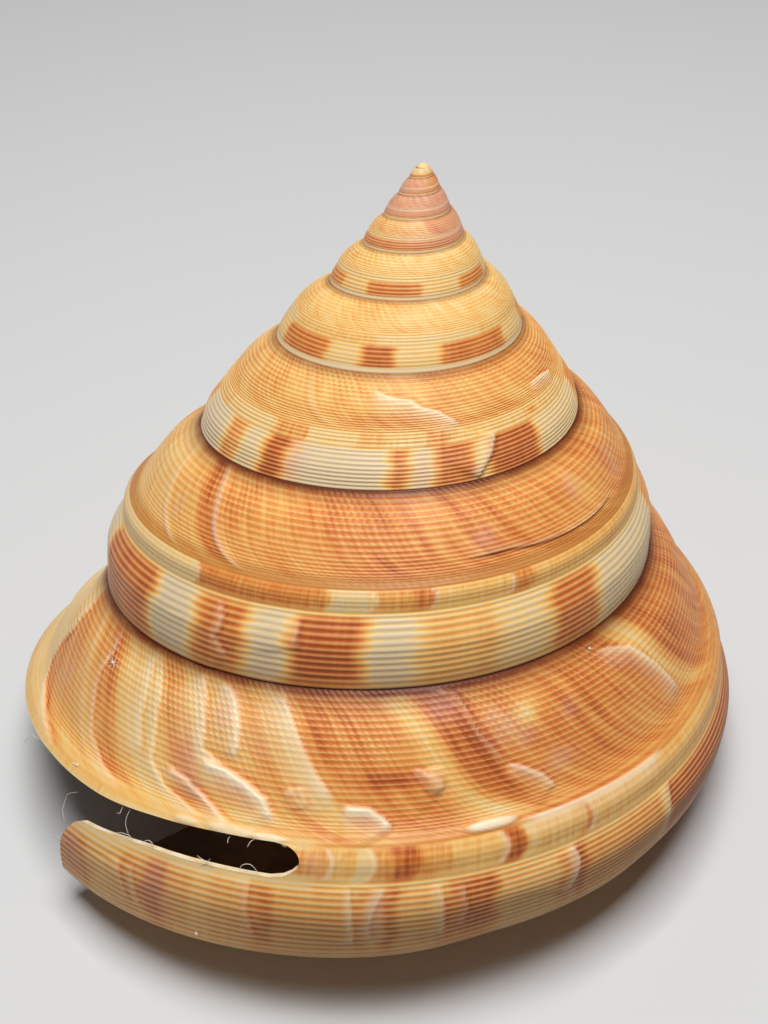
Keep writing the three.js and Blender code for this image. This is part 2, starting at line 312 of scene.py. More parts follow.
# Old breaks of the lip that healed over: the turn and place of points along each edge, from the seam
# side down, how high the newer shell stands at it in millimetres, and how pale and how wide its border is.
RIMS = (
    (((9.172, 0.05), (9.164, 0.6), (9.162, 1.5), (9.154, 2.15), (9.148, 2.6), (9.134, 3.2), (9.114, 3.7)),
     0.2, 0.5, 0.4),
    (((9.136, 0.1), (9.126, 0.95), (9.122, 1.6), (9.114, 2.35)), 0.15, 0.5, 1.5),
    (((9.13, 0.15), (9.118, 0.9), (9.112, 1.65), (9.108, 2.35), (9.096, 2.85), (9.082, 3.3), (9.07, 3.7)),
     0.25, 0.5, 0.5),
    (((9.102, 0.05), (9.094, 0.55), (9.088, 1.05), (9.084, 1.7), (9.072, 1.95)), 0.35, 0.6, 2.2),
    (((9.09, 0.2), (9.082, 0.3), (9.076, 0.55), (9.07, 1.05), (9.068, 1.45), (9.068, 1.8)), 0.5, 0.9, 0.9),
    (((9.058, 0), (9.05, 0.45), (9.04, 1.15), (9.03, 1.85), (9.02, 2.45)), 0.25, 0.6, 1.5),
    (((9.084, 1.9), (9.07, 2), (9.06, 2.2), (9.05, 2.5), (9.046, 2.9), (9.044, 3.3)), 0.7, 1, 1.1),
    (((9.1, 2.3), (9.088, 2.45), (9.078, 2.7), (9.068, 3.25), (9.062, 3.5)), 0.5, 0.7, 0.6),
    (((9.044, 2.25), (9.036, 2.15), (9.034, 2.3), (9.032, 2.6)), 0.25, 0.35, 0.8),
    (((9.018, 2.5), (9.006, 2.55), (9, 2.8), (8.996, 3.3)), 0.55, 1, 1.1),
    (((8.988, 1.68), (8.98, 1.9), (8.974, 2.25)), 0.25, 0.4, 0.5),
    (((8.98, 0.05), (8.968, 0.2), (8.964, 0.5), (8.958, 1.15), (8.946, 1.95)), 0.3, 0.3, 0.25),
    (((8.946, 1.95), (8.938, 2.15), (8.93, 2.45), (8.924, 2.9)), 0.4, 0.7, 0.5),
    (((8.945, 3.8), (8.914, 3.85), (8.89, 3.92), (8.865, 3.95)), 0.25, 0.8, 0.9),
    (((8.884, 0.4), (8.872, 0.55), (8.86, 0.8), (8.846, 1.6), (8.834, 2.8)), 0.4, 0.65, 1),
    (((9.012, 6.1), (9.01, 6.9), (9.009, 7.7)), 0.2, 0.5, 0.3),
    (((8.998, 6.2), (9.002, 6.7), (9.0035, 7.2), (9.002, 7.6)), 0.2, 0.5, 0.4),
    (((8.9775, 6.2), (8.976, 6.8), (8.9755, 7.7)), 0.25, 0.5, 0.4),
    (((8.9685, 6.3), (8.967, 7), (8.968, 7.6)), 0.1, 0.3, 0.3),
    (((8.9225, 6.1), (8.92, 6.6), (8.9215, 7.1), (8.925, 7.6)), 0.3, 0.6, 0.5),
    (((8.866, 6.1), (8.87, 7), (8.872, 7.7)), 0.25, 0.4, 0.4),
    (((9.05, 6.1), (9.049, 7), (9.046, 7.7)), 0.2, 0.2, 0.5),
    (((9.107, 6.6), (9.104, 7.2), (9.101, 7.7)), 0.15, 0.3, 0.4),
    (((9.1, 6.6), (9.098, 7.2), (9.096, 7.7)), 0.15, 0.25, 0.4),
    (((8.1, 6.2), (8.094, 6.7), (8.097, 7.1), (8.088, 7.6)), 0.25, 0.3, 0.4),
    (((8.053, 6.3), (8.05, 7)), 0.2, 0.3, 0.4),
    (((7.828, 2.6), (7.866, 2.75), (7.888, 2.7), (7.91, 2.6), (7.932, 2.35), (7.962, 2.35)), 0.28, 0.25, 0.4),
    (((7.042, 0.85), (7.026, 1.2), (7.014, 1.35), (6.998, 1.45), (6.988, 1.85), (6.97, 2.25), (6.956, 3.15),
      (6.948, 4.25)), 0.4, 0.75, 0.9),
    (((6.918, 5.7), (6.92, 6.2), (6.926, 6.75), (6.934, 7.3), (6.942, 7.95)), 0.45, 0.9, 0.45),
    (((6.856, 2.3), (6.828, 2.4), (6.806, 2.75)), 0.25, 0.7, 0.8),
    (tuple(zip(FOLD_TURNS, FOLD_PLACES)), 0.35, 0.5, 0.7),
)

# How far before and after its edge a rim reaches in turns, how its ends fade, and, in millimetres past it,
# where it rises, how it dies away and where the painted shadow at its foot starts and stops.
RIM_REACH = (0.03, 0.05)
RIM_ENDS = (-0.02, 0.14)
RIM_EDGE = (-0.3, 0.1)
RIM_SCALE = 1.1
RIM_SPREAD = 3.6
RIM_FOOT_START = (-0.9, -0.35)
RIM_FOOT_STOP = (-0.3, 0)
# How much the painted shadow at the foot of a rim deepens the tone.
FOOT_TONE = 0.14

# Smooth pale swellings: middle turn and place, half sizes, height in millimetres and paleness.
SWELLINGS = (
    (8.956, 3.62, 0.0125, 0.3, 0.45, 1), (8.979, 2, 0.005, 0.32, 0.5, 0.2), (9.06, 3.8, 0.012, 0.3, 0.3, 0.6),
    (9.045, 3.85, 0.008, 0.25, 0.35, 0.8), (9.08, 3.9, 0.006, 0.2, 0.25, 0.5),
)
SWELLING_BORDER = (0.3, 1.05)

# Folds along a growth line of the shoulder: growth turn, height in millimetres and paleness.
FOLDS = (
    (9.2, 0.12, 0.2), (8.154, 0.2, 0.5), (8.21, 0.15, 0.4), (7.13, 0.1, 0.3), (8.72, 0.2, 0.3),
    (8.64, 0.25, 0.4), (8.4, 0.25, 0.4), (7.6, 0.2, 0.3),
)
FOLD_END = 3.9
FOLD_FADE = 0.7
FOLD_WIDTH = 0.0035


def growth(turn, place):
    """The turn at which this line of the shoulder was the lip."""
    return turn + smooth(LAG_PLACES, LAG_TURNS, np.clip(place, 0, LAG_PLACES[-1]))


# The length of the coil up to each turn, in millimetres, along the middle of the whorl.
COIL_TURNS = np.linspace(0, 10, 2001)
COIL_LENGTHS = np.cumsum(2 * np.pi * seam(COIL_TURNS - 0.5 * (COIL_TURNS > 0.5))[0]) * COIL_TURNS[1]


def growth_length(turn, place):
    """How much lip the shell had laid down along its coil by then, in millimetres."""
    return np.interp(growth(turn, place), COIL_TURNS, COIL_LENGTHS)


def rim_distance(points, turn, place):
    """How far past an edge a place is, in millimetres, newer side positive, and how far along it."""
    middle = np.mean([point[0] for point in points])
    upper, lower = seam(middle - 1), seam(middle)
    round_length = np.pi * (upper[0] + lower[0])
    chord = math.dist(upper, lower)

    def flat(turns, places):
        return (turns - middle) * round_length + 1j * np.interp(places, PLACES, ALONG[-1]) * chord

    at, corners = flat(turn, place), flat(*np.array(points).T)
    lengths = np.abs(np.diff(corners))
    nearest = np.full(turn.shape, np.inf)
    signed, along, done = nearest, nearest, 0
    for corner, way, length in zip(corners, np.diff(corners) / lengths, lengths):
        local = (at - corner) * way.conjugate()
        share = np.clip(local.real, 0, length)
        off = np.abs(local - share)
        closer = off < nearest
        nearest = np.where(closer, off, nearest)
        signed = np.where(closer, -off * np.sign(local.imag), signed)
        along = np.where(closer, (done + share) / lengths.sum(), along)
        done += length
    return signed, along


def spot_distance(where, turn, place):
    """The squared distance from a spot's middle, 1 on its edge, by its middle and half sizes."""
    middle_turn, middle_place, half_turn, half_place = where
    return ((turn - middle_turn) / half_turn) ** 2 + ((place - middle_place) / half_place) ** 2


def rim_marks(turn, place):
    """Height of the healed rims and folds in millimetres, their white edges and the painted shadow at their
    feet.
    """
    height, white, foot = np.zeros_like(turn), np.zeros_like(turn), np.zeros_like(turn)
    for points, rise, pale, width in RIMS:
        turns = [point[0] for point in points]
        near = (turn > min(turns) - RIM_REACH[0]) & (turn < max(turns) + RIM_REACH[1])
        if not near.any():
            continue
        signed, along = rim_distance(points, turn[near], place[near])
        ends = step(*RIM_ENDS, along) * step(*RIM_ENDS, 1 - along)
        past = np.maximum(signed, 0)
        edge = step(*RIM_EDGE, signed) * ends
        height[near] += RIM_SCALE * rise * edge * np.exp(-past / RIM_SPREAD)
        narrow = 1 - step(0.2 * width, width, signed)
        wide = 1 - step(0.6 * width, 3.4 * width, signed)
        white[near] = np.maximum(white[near], pale * edge * (0.6 * narrow + 0.4 * wide))
        foot[near] += ends * step(*RIM_FOOT_START, signed) * (1 - step(*RIM_FOOT_STOP, signed))
    for *where, rise, pale in SWELLINGS:
        across = spot_distance(where, turn, place)
        height += rise * np.sqrt(np.clip(1 - across, 0, 1))
        white = np.maximum(white, pale * (1 - step(*SWELLING_BORDER, across)))
    time = growth(turn, place)
    for when, rise, pale in FOLDS:
        fade = 1 - step(FOLD_END - FOLD_FADE, FOLD_END, place)
        ridge = fade * np.exp(-(((time - when) / FOLD_WIDTH) ** 2))
        height += rise * ridge
        white = np.maximum(white, pale * ridge ** 3)
    return height, white, foot


def lip_sag(turn, place):
    """How far the shoulder sinks below the seam, close to the lip, in millimetres."""
    return SAG_DEPTH * step(*SAG_TURNS, turn) * np.clip(place * (2 - place), 0, 1)


def past_fold(turn, place):
    """How many turns past the fold behind the upper lip a place is."""
    return turn - np.interp(place, FOLD_PLACES, FOLD_TURNS)


MARGIN_START = 0.01
MARGIN_PLACES = (0.05, 0.5)


def slit_edge(edge, turn):
    """The place of an edge of the slit at a turn."""
    return smooth(SLIT_TURNS, edge, np.maximum(turn, SLIT_TURNS[0]))


def slit_margin(turn, place):
    """1 along the edges of the slit, fading away from them."""
    opened = step(SLIT_END - MARGIN_START, SLIT_END, turn)
    above = np.abs(place - slit_edge(SLIT_UPPER, turn))
    below = np.abs(place - slit_edge(SLIT_LOWER, turn))
    return opened * (1 - step(*MARGIN_PLACES, np.minimum(above, below)))


def relief(turn, place, cords):
    """How high the cords stand, in millimetres."""
    stage = np.clip((turn - CORD_START) / (CORD_FULL - CORD_START), CORD_LEAST, 1)
    return cord_size(turn, place) * stage * 2 * cords * (1 - slit_margin(turn, place))


# Pigment along the coil: each entry starts a block at that turn, from 0, white, to 1, brown.
WALL_BLOCKS = (
    (1, 0.66), (4.35, 0.2), (4.5, 0.65), (4.66, 0.2), (4.8, 0.7), (4.9, 0.12), (4.987, 0.7), (5.104, 0.12),
    (5.174, 0.6), (5.26, 0.15), (5.34, 0.7), (5.45, 0.1), (5.55, 0.75), (5.66, 0.1), (5.74, 0.6),
    (5.78, 0.1), (5.853, 0.75), (5.962, 0.08), (6.022, 0.8), (6.065, 0.06), (6.115, 0.75), (6.208, 0.08),
    (6.27, 0.6), (6.35, 0.1), (6.42, 0.8), (6.5, 0.12), (6.58, 0.7), (6.66, 0.1), (6.72, 0.75),
    (6.775, 0.18), (6.872, 0.9), (6.929, 0.2), (6.941, 0.85), (6.976, 0.2), (6.996, 0.8), (7.014, 0.04),
    (7.089, 0.35), (7.101, 0.95), (7.125, 0.15), (7.152, 0.65), (7.177, 0.05), (7.25, 0.7), (7.31, 0.1),
    (7.37, 0.85), (7.43, 0.15), (7.5, 0.75), (7.57, 0.1), (7.63, 0.85), (7.69, 0.2), (7.73, 0.7),
    (7.78, 0.12), (7.873, 0.86), (7.909, 0.25), (7.944, 0.52), (7.989, 0.08), (8.015, 0.92), (8.055, 0.05),
    (8.079, 0.8), (8.114, 0.02), (8.147, 0.85), (8.22, 0.1), (8.27, 0.8), (8.32, 0.15), (8.38, 0.85),
    (8.44, 0.2), (8.5, 0.75),
)
# The last wall's blocks are set deeper: partly its own colour, partly painted shade on this low wall.
LAST_WALL_BLOCKS = (
    (8.5, 0.75), (8.55, 0.2), (8.6, 0.8), (8.67, 0.25), (8.73, 0.92), (8.868, 0.3), (8.873, 0.64),
    (8.916, 0.88), (8.921, 0.45), (8.9245, 0.7), (8.929, 0.46), (8.955, 0.88), (8.967, 0.8), (8.975, 0.5),
    (8.993, 0.8), (8.998, 0.44), (9.003, 0.64), (9.009, 0.4), (9.0115, 0.56), (9.039, 0.8), (9.046, 0.64),
    (9.05, 0.56), (9.064, 0.5), (9.074, 0.6), (9.084, 0.84), (9.094, 0.58), (9.1, 0.66), (9.106, 0.52),
    (9.125, 0.74),
)
BAND_BLOCKS = (
    (1, 0.3), (5.6, 0.3), (5.75, 0.42), (5.9, 0.3), (6.05, 0.45), (6.2, 0.3), (6.35, 0.45), (6.5, 0.35),
    (6.7, 0.5), (6.8, 0.36), (6.93, 0.42), (6.965, 0.62), (6.985, 0.36), (7.02, 0.5), (7.045, 0.3),
    (7.092, 0.62), (7.127, 0.3), (7.2, 0.45), (7.3, 0.65), (7.4, 0.4), (7.55, 0.65), (7.7, 0.45),
    (7.9213, 0.7), (7.9353, 0.42), (7.9813, 0.74), (7.9933, 0.56), (8.0153, 0.2), (8.0393, 0.7),
    (8.1223, 0.25), (8.2973, 0.6), (8.3973, 0.35), (8.4973, 0.7), (8.5973, 0.4), (8.7173, 0.6),
    (8.8173, 0.45), (8.9143, 0.72), (8.9188, 0.42), (8.9408, 0.2), (8.9448, 0.88), (8.9528, 0.42),
    (8.9753, 0.58), (8.9873, 0.88), (8.9973, 0.62), (9.0058, 0.22), (9.0115, 0.42), (9.0215, 0.58),
    (9.04, 0.45),
)
CRESCENTS = (7.9353, 7.9813, 8.0148, 8.1218, 8.9138, 8.9538, 9.0058, 9.0218)
CRESCENT_WIDTH = 0.0011
CRESCENT_PALENESS = 0.6
CRESCENT_STARTS = (4, 4.2)
CRESCENT_STOPS = (5.8, 6)
TONGUE_LENGTH = 0.0033
SHOULDER_BLOCKS = (
    (0, 0.2), (1.7, 0.66), (4, 0.46), (4.5, 0.38), (6, 0.43), (6.6, 0.58), (6.9, 0.54), (7.04, 0.5),
    (7.2, 0.5), (7.4, 0.6), (7.7, 0.68), (7.86, 0.65), (7.95, 0.7), (8.08, 0.62), (8.158, 0.88), (8.17, 0.54),
    (8.2, 0.44), (8.3, 0.6), (8.45, 0.7), (8.6, 0.72), (8.66, 0.5), (8.7, 0.74), (8.8, 0.76),
    (8.862, 0.32), (8.874, 0.68), (8.93, 0.7), (8.955, 0.64), (8.976, 0.84), (8.997, 0.28), (9.008, 0.68),
    (9.056, 0.7), (9.059, 0.32), (9.072, 0.58), (9.088, 0.36), (9.1, 0.52), (9.106, 0.26), (9.117, 0.6),
    (9.135, 0.28), (9.15, 0.38), (9.168, 0.68), (9.189, 0.5), (9.21, 0.55), (9.3, 0.4),
)

# Half the width of the soft edge between blocks, and how much of the wobble each kind of block has.
BLOCK_SOFT = 0.008
BAND_SOFT = 0.0025
LAST_SOFT = 0.003
JOINT_SOFT = 0.01
WALL_WOBBLE = 0.6
LAST_WOBBLE = 0.4
SHOULDER_WOBBLE = 0.4

# The wobble's waves: size in turns, waves across the whorl and along the coil, and where they start.
WOBBLES = ((0.0022, 5.1, 40, 0), (0.0016, 11.7, 63, 1.3))

# Tones of single features, and the places or turns over which they take over.
LEDGE_TONE = 0.3
LEDGE_PLACE = 6.1
LEDGE_WIDTH = 0.13
CHANNEL_TONE = 0.6
CHANNEL_PLACES = (3.1, 3.5)
LIP_TONE = 0.34
LIP_TURNS = (9.03, 9.09)
BAND_PLACES = (3.95, 4.1)
WALL_PLACES = (5.95, 6.15)
# The pale tone of the bead is a painted highlight.
BEAD_HIGHLIGHT_TONE = 0.1
SPIRE_CREAM = 0.28
SPIRE_TURNS = (6.4, 7)
WALL_FOOT_TONE = 0.45
WALL_FOOT_PLACES = (7.65, 7.85)
PALE_EDGE_TONE = 0.2
PALE_EDGE_TURNS = (9.285, 9.3)
BASE_TONE = 0.45
BASE_CONTRAST = 0.6
BASE_EDGE = (7.9, 8.6)

# Before the fold behind the upper lip the shell is deeper, and past it paler, in turns past the fold.
FOLD_SHADE = 0.72
FOLD_SHADE_TURNS = (-0.03, -0.004)
NEWEST_TONE = 0.32
NEWEST_TURNS = (-0.002, 0.003)
NEWEST_FROM = (9.15, 9.17)

# Deeper or paler patches of the shoulder: middle turn and place, half sizes, and the change in tone.
TONE_SPOTS = (
    (9.066, 2.5, 0.012, 0.5, 0.28), (9.09, 1.95, 0.012, 0.35, 0.22), (9.085, 2.75, 0.008, 0.4, 0.2),
    (8.996, 1.93, 0.015, 0.2, 0.3), (8.965, 1.6, 0.012, 1.2, 0.08), (8.934, 1.0, 0.006, 0.28, -0.4),
    (9.03, 1.0, 0.012, 0.8, 0.1), (9.01, 3.0, 0.009, 0.3, 0.12), (8.89, 1.2, 0.02, 0.9, 0.08),
    (8.95, 3.1, 0.02, 0.4, -0.15), (8.82, 1.4, 0.02, 1.0, 0.06), (7.93, 2.1, 0.03, 0.6, 0.08),
    (8.03, 2.6, 0.04, 0.5, 0.06), (7.87, 0.9, 0.02, 0.6, 0.05), (7.02, 2.6, 0.035, 0.7, 0.2),
    (6.868, 5.05, 0.008, 0.6, 0.35), (6.93, 0.3, 0.1, 0.3, 0.12),
)


def tone_spots(turn, place):
    """The change in tone at a place from all the patches."""
    change = np.zeros_like(turn)
    for *where, amount in TONE_SPOTS:
        change += amount * np.exp(-spot_distance(where, turn, place))
    return change


def block_tone(blocks, turn, soft=BLOCK_SOFT):
    """The pigment at a turn, with soft edges between the blocks."""
    tone = np.full_like(turn, blocks[0][1])
    for (_, before), (start, after) in zip(blocks, blocks[1:]):
        tone += (after - before) * step(start - soft, start + soft, turn)
    return tone


def band_turn(turn, place):
    """The turn to look up on the band, whose blocks end in round tongues."""
    return turn + TONGUE_LENGTH * (1 - (place - BAND_MIDDLE) ** 2)


def crescents(turn, place):
    """Thin pale lines round the ends of the tongues on the band."""
    at = band_turn(turn, place)
    lines = sum(np.exp(-(((at - edge) / CRESCENT_WIDTH) ** 2)) for edge in CRESCENTS)
    return CRESCENT_PALENESS * lines * step(*CRESCENT_STARTS, place) * (1 - step(*CRESCENT_STOPS, place))


def wobble(turn, place):
    """A small wander of the block edges from cord to cord, in turns."""
    return sum(size * np.sin(across * place + along * turn + start) for size, across, along, start in WOBBLES)


def towards(tone, goal, share):
    """A tone moved towards another by a share."""
    return tone + (goal - tone) * share


def pigment(turn, place):
    """The tone at a place, from 0, white, to 1, brown."""
    grown = late(turn)
    wander = wobble(turn, place)
    calm = SHOULDER_WOBBLE * wobble(turn, 0.4 * place)
    shoulder = block_tone(SHOULDER_BLOCKS, growth(turn, place) + calm)
    band = block_tone(BAND_BLOCKS, band_turn(turn, place), BAND_SOFT)
    wall = block_tone(WALL_BLOCKS, turn + WALL_WOBBLE * wander)
    last_wall = block_tone(LAST_WALL_BLOCKS, turn + LAST_WOBBLE * wander, LAST_SOFT)
    wall = towards(wall, last_wall, step(LAST_START - JOINT_SOFT, LAST_START + JOINT_SOFT, turn))
    wall = towards(wall, 1, SPIRE_CREAM * (1 - step(*SPIRE_TURNS, turn)))
    channel = towards(CHANNEL_TONE, LIP_TONE, step(*LIP_TURNS, turn))
    channel = towards(channel, shoulder, 0.25)
    tone = towards(shoulder, channel, step(*CHANNEL_PLACES, place) * grown)
    newest = past_fold(turn, place)
    by_lip = step(*NEWEST_FROM, turn)
    tone = towards(tone, FOLD_SHADE, 0.7 * step(*FOLD_SHADE_TURNS, newest) * by_lip)
    tone = towards(tone, NEWEST_TONE, step(*NEWEST_TURNS, newest) * by_lip)
    tone = towards(tone, band, step(*BAND_PLACES, place))
    tone = towards(tone, wall, step(*WALL_PLACES, place))
    tone = tone + tone_spots(turn, place)
    ledge = np.exp(-(((place - LEDGE_PLACE) / LEDGE_WIDTH) ** 2))
    tone = towards(tone, LEDGE_TONE, 0.7 * grown * ledge)
    # The bead is painted pale: a painted highlight on the rounded lower edge.
    tone = towards(tone, BEAD_HIGHLIGHT_TONE, 0.8 * bead(turn, place))
    tone = towards(tone, WALL_FOOT_TONE, 0.45 * grown * step(*WALL_FOOT_PLACES, place))
    tone = towards(tone, PALE_EDGE_TONE, 0.8 * slit_margin(turn, place))
    tone = towards(tone, PALE_EDGE_TONE, step(*PALE_EDGE_TURNS, turn))
    base_tone = towards(BASE_TONE, wall, BASE_CONTRAST)
    return towards(tone, base_tone, step(*BASE_EDGE, place) * grown)


# Mauve patches: middle turn and place, half sizes and strength.
BLUSHES = (
    (8.944, 1.15, 0.008, 0.35, 0.75), (8.936, 1.45, 0.006, 0.25, 0.6), (8.92, 2.25, 0.007, 0.3, 0.55),
    (8.91, 1.25, 0.005, 0.25, 0.4), (8.95, 0.9, 0.006, 0.25, 0.7), (8.974, 0.4, 0.009, 0.35, 0.6),
    (9.08, 0.8, 0.006, 0.5, 0.8), (9.06, 0.9, 0.01, 0.8, 0.35), (9.19, 2.0, 0.006, 0.5, 0.35),
    (7.866, 1.2, 0.008, 0.4, 0.55), (7.946, 1.7, 0.008, 0.35, 0.55), (7.806, 1.8, 0.012, 0.7, 0.4),
    (8.164, 1.85, 0.005, 0.5, 0.5), (7.092, 7, 0.007, 1, 1), (6.986, 7, 0.008, 1, 0.6),
    (8.922, 6.9, 0.002, 0.7, 0.8), (9.001, 6.9, 0.003, 0.7, 0.8), (9.088, 6.9, 0.006, 0.8, 0.5),
    (9.134, 7, 0.004, 0.8, 0.5), (8.55, 1.5, 0.03, 1, 0.6), (8.42, 2, 0.02, 0.8, 0.5),
    (9.026, 5, 0.004, 0.8, 0.5),
)

# The mauve of the first whorls: the turns where it comes and goes, and the places where it stops.
MAUVE_COMES = (1.6, 2.2)
MAUVE_GOES = (3.6, 4.4)
MAUVE_STOPS = (7, 7.3)


def blush(turn, place):
    """How mauve the shell is at a place."""
    mask = np.zeros_like(turn)
    for *where, strength in BLUSHES:
        mask = np.maximum(mask, strength * np.exp(-spot_distance(where, turn, place)))
    early = step(*MAUVE_COMES, turn) * (1 - step(*MAUVE_GOES, turn)) * (1 - step(*MAUVE_STOPS, place))
    return np.maximum(mask, early)


# What each vertex of the outside carries for the shader.
ATTRIBUTES = ("growth", "place", "cord", "tone", "blush", "rim")
SEAM_FADE = (0, 0.12)


def patch_fields(turn, place):
    """Points of a patch of the outside, and what is painted on them."""
    radius, height = section(turn, place)
    out_radius, out_height = section_normal(turn, place)
    cords = cord_pattern(turn, place)
    rims, white, foot = rim_marks(turn, place)
    white = np.maximum(white, crescents(turn, place))
    # The bead painted white: a painted highlight.
    white = np.maximum(white, BEAD_PAINTED_HIGHLIGHT * bead(turn, place))
    rise = relief(turn, place, cords) * (1 - 0.5 * white) + rims - lip_sag(turn, place)
    rise = rise * step(*SEAM_FADE, place)
    points = place_in_scene(ring_points(turn, radius + rise * out_radius, height + rise * out_height))
    points[..., 2] = np.maximum(points[..., 2], 0)
    strength = np.minimum(1, cord_size(turn, place) / SHOULDER_CORD)
    # The painted shadow at the feet of the rims deepens the tone.
    tone = pigment(turn, place) + FOOT_TONE * foot
    fields = (growth_length(turn, place), place, cords * strength, tone, blush(turn, place), white)
    return points, fields


def lay_grid(bm, points):
    """A grid whose vertices lie at these points, and each vertex with its row and column."""
    rows, columns = points.shape[0] - 1, points.shape[1] - 1
    placed = []
    for vert in bmesh.ops.create_grid(bm, x_segments=rows, y_segments=columns, size=1)["verts"]:
        row = round((vert.co.x + 1) / 2 * rows)
        column = round((vert.co.y + 1) / 2 * columns)
        vert.co = points[row, column]
        placed.append((vert, row, column))
    return placed


def add_patch(bm, turn, place):
    """Lays a grid over the outside: its rows run along the coil and its columns across the whorl."""
    painted = [bm.verts.layers.float.get(n) or bm.verts.layers.float.new(n) for n in ATTRIBUTES]
    points, fields = patch_fields(turn, place)
    for vert, row, column in lay_grid(bm, points):
        for layer, values in zip(painted, fields):
            vert[layer] = values[row, column]


def spread(*stops):
    """Numbers from stop to stop, given as (start, end, how many steps)."""
    parts = [np.linspace(start, end, count + 1)[:-1] for start, end, count in stops]
    return np.concatenate(parts + [[stops[-1][1]]])


def cord_columns(counts, low, high, per_cord):
    """Places across the whorl, the same number of them on every cord."""
    first, last = np.interp([low, high], CORD_PLACES, counts)
    numbers = np.linspace(first, last, round((last - first) * per_cord) + 1)
    return np.interp(numbers, counts, CORD_PLACES)


def tucked(columns):
    """The same places with the first one tucked in under the whorl above."""
    return np.concatenate([[-TUCK], columns])


def out_to_lip(turns, columns, lip_places, lip_turns, steps):
    """Turns and places of a patch that runs on past its last turn to the lip."""
    lip = smooth(lip_places, lip_turns, columns)
    beyond = turns[-1] + spread((0, 1, steps))[1:, None] * (lip - turns[-1])
    turn = np.concatenate([np.repeat(turns[:, None], len(columns), 1), beyond])
    return turn, np.broadcast_to(columns, turn.shape)


def add_object(name, data):
    made = bpy.data.objects.new(name, data)
    bpy.context.collection.objects.link(made)
    return made


def mesh_object(name, bm, materials):
    mesh = bpy.data.meshes.new(name)
    bm.to_mesh(mesh)
    bm.free()
    for material in materials:
        mesh.materials.append(material)
    return add_object(name, mesh)


MERGE_REACH = 2e-6


def finish_piece(name, bm, materials, wall=0.0):
    """Turns a mesh into a piece of the shell, with a wall behind it where that is asked for."""
    bmesh.ops.remove_doubles(bm, verts=bm.verts, dist=MERGE_REACH)
    for edge in bm.edges:
        edge.smooth = not edge.is_boundary
    piece = mesh_object(name, bm, materials)
    piece.data.polygons.foreach_set("use_smooth", [True] * len(piece.data.polygons))
    if wall:
        thick = piece.modifiers.new("wall", "SOLIDIFY")
        thick.thickness = wall * MM
        thick.offset = -1
        thick.material_offset = 1
        thick.material_offset_rim = 2
    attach(piece, "root")
    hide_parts("shell")


class Shade:
    """A shader socket that can be added, multiplied and so on in an expression."""

    def __init__(self, tree, socket=None):
        self.tree = tree
        self.socket = socket

    def node(self, kind, settings=None, output=0, **sockets):
        """Adds a node: its settings first, then the values or links of its sockets."""
        made = self.tree.nodes.new("ShaderNode" + kind)
        for name, value in (settings or {}).items():
            if name == "stops":
                ramp = made.color_ramp
                while len(ramp.elements) < len(value):
                    ramp.elements.new(1)
                for element, (position, colour) in zip(ramp.elements, value):
                    element.position = position
                    element.color = colour
            else:
                setattr(made, name, value)
        for name, value in sockets.items():
            key = int(name[1:]) if name[0] == "_" else name.replace("_", " ")
            target = made.inputs[key]
            if isinstance(value, Shade):
                self.tree.links.new(value.socket, target)
            else:
                target.default_value = value
        return Shade(self.tree, made.outputs[output])

    def math(self, operation, first, second=0.0, clamp=False):
        settings = {"operation": operation, "use_clamp": clamp}
        return self.node("Math", settings, _0=first, _1=second)

    def __add__(self, other):
        return self.math("ADD", self, other)

    __radd__ = __add__

    def __sub__(self, other):
        return self.math("SUBTRACT", self, other)

    def __rsub__(self, other):
        return self.math("SUBTRACT", other, self)

    def __mul__(self, other):
        return self.math("MULTIPLY", self, other)

    __rmul__ = __mul__

    def wave(self):
        """The sine of a value."""
        return self.math("SINE", self)

    def held(self):
        """The value kept between 0 and 1."""
        return self.math("ADD", self, 0.0, clamp=True)

    def rise(self, low, high):
        """0 below low, 1 above high, and a soft rise between."""
        settings = {"interpolation_type": "SMOOTHSTEP"}
        return self.node("MapRange", settings, Value=self, From_Min=low, From_Max=high)

    def between(self, start, full, fading, gone):
        """1 from full to fading, and 0 before start and after gone."""
        return self.rise(start, full) * (1 - self.rise(fading, gone))

    def points(self):
        """Places in the piece's own coordinates."""
        return self.node("TexCoord", None, output="Object")

    def painted(self, name):
        """A value that the piece's mesh carries."""
        settings = {"attribute_name": name, "attribute_type": "GEOMETRY"}
        return self.node("Attribute", settings, output="Fac")

    def noise(self, scale, detail, roughness):
        """Soft noise, with this value as its coordinates."""
        sizes = {"Scale": scale, "Detail": detail, "Roughness": roughness}
        return self.node("TexNoise", None, Vector=self, **sizes)

    def joined(self, other):
        """A vector of this value and another."""
        return self.node("CombineXYZ", None, X=self, Y=other)

    def blend(self, first, second, factor):
        """A mix of two colours."""
        settings = {"data_type": "RGBA"}
        return self.node("Mix", settings, output=2, _0=factor, _6=first, _7=second)

    def ramp(self, stops):
        """A colour from a row of stops."""
        return self.node("ValToRGB", {"stops": stops}, Fac=self)


def rgb(red, green, blue):
    """A colour as it shows, from 0 to 255, in the light's own scale."""
    def linear(value):
        value /= 255
        return value / 12.92 if value <= 0.04045 else ((value + 0.055) / 1.055) ** 2.4
    return (*(linear(value) for value in (red, green, blue)), 1)


# The colours that the tones stand for, and the other colours of the shell and the studio.
PIGMENT = (
    (0, rgb(209, 188, 157)),
    (0.2, rgb(228, 199, 145)),
    (0.4, rgb(234, 186, 108)),
    (0.6, rgb(226, 158, 82)),
    (0.8, rgb(208, 119, 54)),
    (1, rgb(164, 78, 33)),
)
MAUVE = rgb(214, 164, 150)
# Cream for the cord crests: partly their own colour, partly a painted highlight.
CORD_CREAM_AND_HIGHLIGHT = rgb(236, 208, 162)
